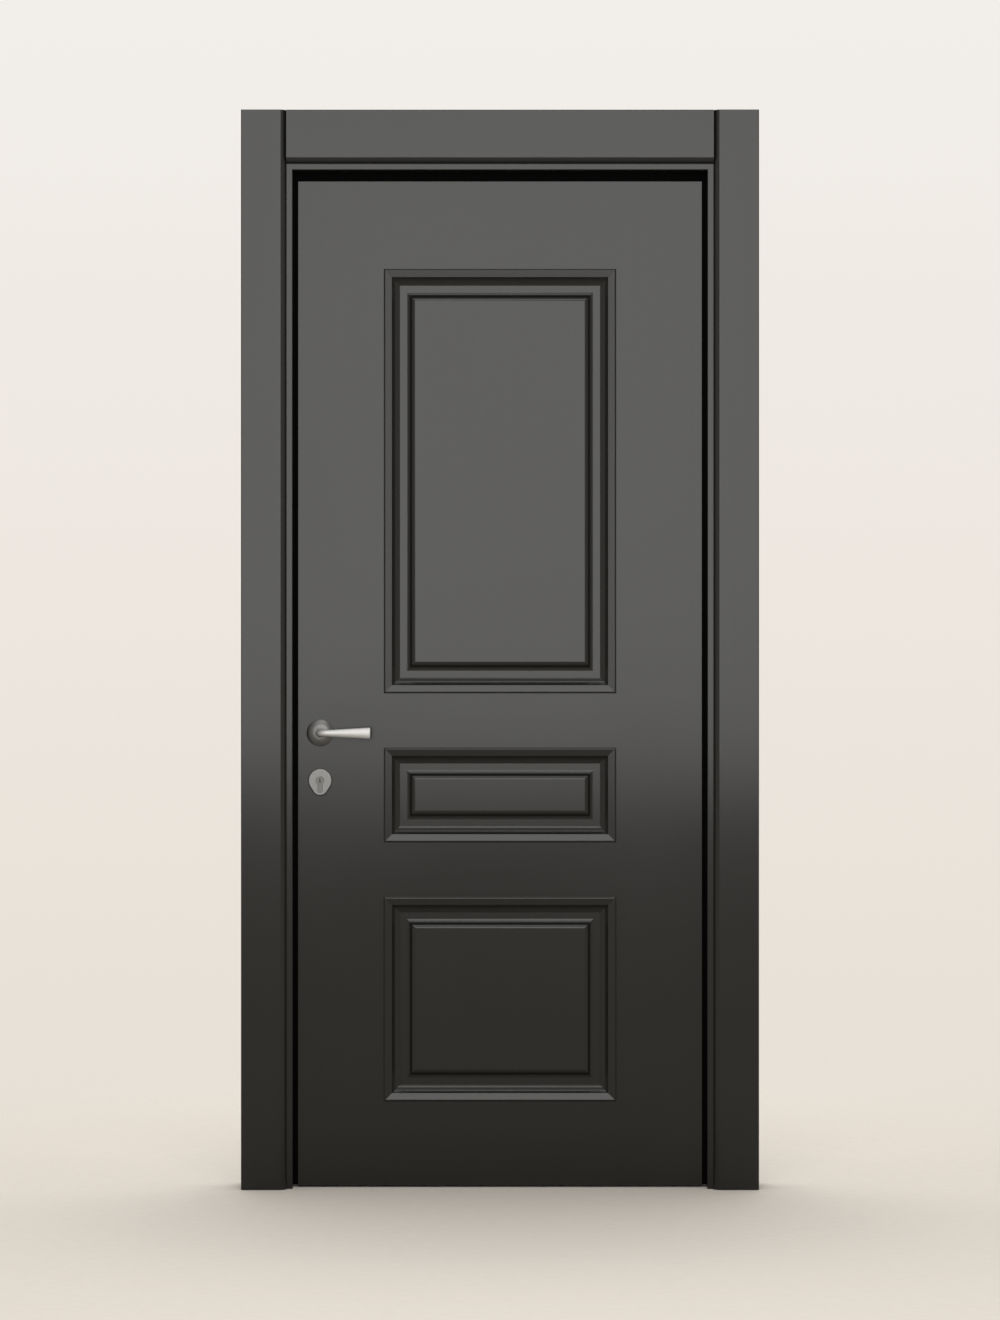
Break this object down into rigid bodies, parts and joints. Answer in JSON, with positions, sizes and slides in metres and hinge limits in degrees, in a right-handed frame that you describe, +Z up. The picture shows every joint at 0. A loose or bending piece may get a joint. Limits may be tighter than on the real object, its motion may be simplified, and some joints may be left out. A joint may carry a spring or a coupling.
{
  "type": "panelled interior door with frame",
  "caption": "Dark lacquered panelled wooden door leaf hinged in its rebated frame with casings, mortise lock, lever handles and key cylinder.",
  "frame": {"origin": "floor level, middle of the doorway, in the middle plane of the leaf's thickness", "axes": "+X across the doorway from the lock side to the hinge side, +Y through the wall to the side that the leaf opens to, +Z up"},
  "size_m": [1.052, 0.146, 2.1935],
  "materials": {
    "anthracite_lacquer": "satin anthracite lacquer",
    "seal_rubber": "matt black",
    "satin_chrome": "satin chrome",
    "satin_nickel": "dark satin nickel plate",
    "hardware_steel": "satin stainless steel",
    "cylinder_brass": "nickel plated brass",
    "lock_zinc": "zinc plated sheet"
  },
  "bodies": {
    "frame": {"casing_back_head": "anthracite_lacquer", "casing_back_hinge_side": "anthracite_lacquer", "casing_back_lock_side": "anthracite_lacquer", "casing_front_head": "anthracite_lacquer", "casing_front_hinge_side": "anthracite_lacquer", "casing_front_lock_side": "anthracite_lacquer", "hinge_bottom_frame_half": "hardware_steel", "hinge_bottom_pin": "hardware_steel", "hinge_frame_screws": "hardware_steel", "hinge_middle_frame_half": "hardware_steel", "hinge_middle_pin": "hardware_steel", "hinge_top_frame_half": "hardware_steel", "hinge_top_pin": "hardware_steel", "jamb_head": "anthracite_lacquer", "jamb_hinge_side": "anthracite_lacquer", "jamb_lock_side": "anthracite_lacquer", "strike_plate": "hardware_steel", "strike_plate_screws": "hardware_steel"},
    "leaf": {"cylinder_body": "cylinder_brass", "escutcheon_back": "satin_nickel", "escutcheon_front": "satin_nickel", "hinge_bottom_door_half": "hardware_steel", "hinge_door_screws": "hardware_steel", "hinge_middle_door_half": "hardware_steel", "hinge_top_door_half": "hardware_steel", "lock_case": "lock_zinc", "lock_faceplate": "hardware_steel", "lock_faceplate_screws": "hardware_steel", "moulding_lower_back": "anthracite_lacquer", "moulding_lower_front": "anthracite_lacquer", "moulding_middle_back": "anthracite_lacquer", "moulding_middle_front": "anthracite_lacquer", "moulding_upper_back": "anthracite_lacquer", "moulding_upper_front": "anthracite_lacquer", "panel_lower": "anthracite_lacquer", "panel_middle": "anthracite_lacquer", "panel_upper": "anthracite_lacquer", "rail_bottom": "anthracite_lacquer", "rail_lower_cross": "anthracite_lacquer", "rail_top": "anthracite_lacquer", "rail_upper_cross": "anthracite_lacquer", "rose_back": "satin_nickel", "rose_front": "satin_nickel", "seal_head": "seal_rubber", "seal_hinge_side": "seal_rubber", "seal_lock_side": "seal_rubber", "stile_hinge_side": "anthracite_lacquer", "stile_lock_side": "anthracite_lacquer"},
    "handle": {"lever_front": "satin_chrome", "lever_back": "satin_chrome", "spindle": "hardware_steel", "lock_follower": "hardware_steel"},
    "latch": {"latch_bolt": "hardware_steel"},
    "bolt": {"dead_bolt": "hardware_steel"},
    "key_core": {"key_plug_front": "cylinder_brass", "key_plug_back": "cylinder_brass", "cylinder_cam": "cylinder_brass"}
  },
  "joints": [
    {"name": "door_swing", "type": "hinge", "parent": "frame", "child": "leaf", "pos_m": [0.43875, 0.0319, 0], "axis": [0, 0, -1], "range_deg": [0, 110]},
    {"name": "lever_turn", "type": "hinge", "parent": "leaf", "child": "handle", "pos_m": [-0.367, 0, 0.927], "axis": [0, 1, 0], "range_deg": [0, 40], "stiffness_Nm_per_rad": 1.2, "springref_deg": -34.38},
    {"name": "latch_slide", "type": "slide", "parent": "leaf", "child": "latch", "axis": [1, 0, 0], "range_m": [0, 0.0115]},
    {"name": "key_turn", "type": "hinge", "parent": "leaf", "child": "key_core", "pos_m": [-0.367, 0, 0.83], "axis": [0, -1, 0], "range_deg": [0, 360]},
    {"name": "dead_bolt_slide", "type": "slide", "parent": "leaf", "child": "bolt", "axis": [-1, 0, 0], "range_m": [0, 0.02]}
  ],
  "couplings": [
    {"joint": "latch_slide", "follows": "lever_turn", "m_per_rad": 0.01645},
    {"joint": "key_turn", "follows": "dead_bolt_slide", "rad_per_m": 314.11}
  ]
}
